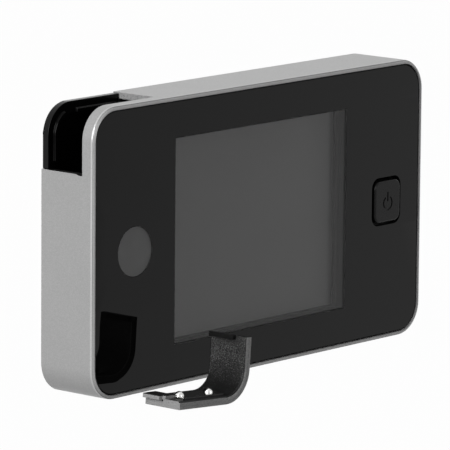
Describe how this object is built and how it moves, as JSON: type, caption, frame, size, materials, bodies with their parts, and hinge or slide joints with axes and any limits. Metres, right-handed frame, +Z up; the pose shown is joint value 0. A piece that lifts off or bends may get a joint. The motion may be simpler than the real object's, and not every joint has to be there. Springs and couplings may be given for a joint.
{
  "type": "peephole door camera indoor monitor",
  "caption": "Flat indoor monitor of a digital door viewer with a dark front window, power button, battery compartment at the corner and its cover taken off.",
  "frame": {"origin": "centre of the flat back face that rests against the door side", "axes": "+X to the right seen from the front, +Y from the front towards the door, +Z up"},
  "size_m": [0.125, 0.0404, 0.0712],
  "materials": {
    "silver_paint": "fine metallic silver paint",
    "dark_acrylic": "clear dark gloss",
    "black_print": "satin print",
    "badge_grey": "satin print",
    "tape": "matt film",
    "foam": "open foam",
    "display_steel": "blackened sheet",
    "display_glass": "polarised glass",
    "light_guide": "white film",
    "flex": "amber film",
    "connector_white": "moulded",
    "board_green": "solder mask",
    "chip_black": "moulded",
    "ferrite": "sintered",
    "ceramic_tan": "sintered",
    "socket_black": "moulded",
    "switch_black": "moulded",
    "plunger_white": "moulded",
    "button_black": "satin gloss",
    "spring_nickel": "nickel plated",
    "lead_red_black": "pvc sleeve",
    "black_shell": "fine texture",
    "screw_steel": "black zinc"
  },
  "bodies": {
    "monitor": {"housing_frame": "silver_paint", "front_panel": "dark_acrylic", "panel_print": "black_print", "badge_disc": "badge_grey", "panel_adhesive": "tape", "display_gasket": "foam", "lcd_bezel": "display_steel", "lcd_glass": "display_glass", "lcd_backlight": "light_guide", "lcd_ribbon": "flex", "lcd_connector": "connector_white", "main_board": "board_green", "main_board_screws": "screw_steel", "main_processor": "chip_black", "memory_chip": "chip_black", "power_inductors": "ferrite", "board_capacitors": "ceramic_tan", "camera_socket": "socket_black", "button_board": "board_green", "button_board_screws": "screw_steel", "button_ribbon": "flex", "button_connector": "connector_white", "switch_body": "switch_black", "battery_tray": "black_shell", "negative_contact": "spring_nickel", "positive_contact": "spring_nickel", "battery_leads": "lead_red_black", "battery_header": "connector_white", "rear_cover": "black_shell", "rear_cover_screws": "screw_steel"},
    "power_button": {"power_button": "button_black", "switch_plunger": "plunger_white"},
    "battery_cover": {"battery_cover": "silver_paint", "cover_contact_bridge": "spring_nickel"}
  },
  "joints": [
    {"name": "power_button_press", "type": "slide", "parent": "monitor", "child": "power_button", "axis": [0, 1, 0], "range_m": [0, 0.0006], "stiffness_N_per_m": 2000, "springref_m": -0.0003},
    {"name": "battery_cover_lift", "type": "slide", "parent": "monitor", "child": "battery_cover", "axis": [0, 0, 1], "range_m": [0, 0.05]}
  ]
}
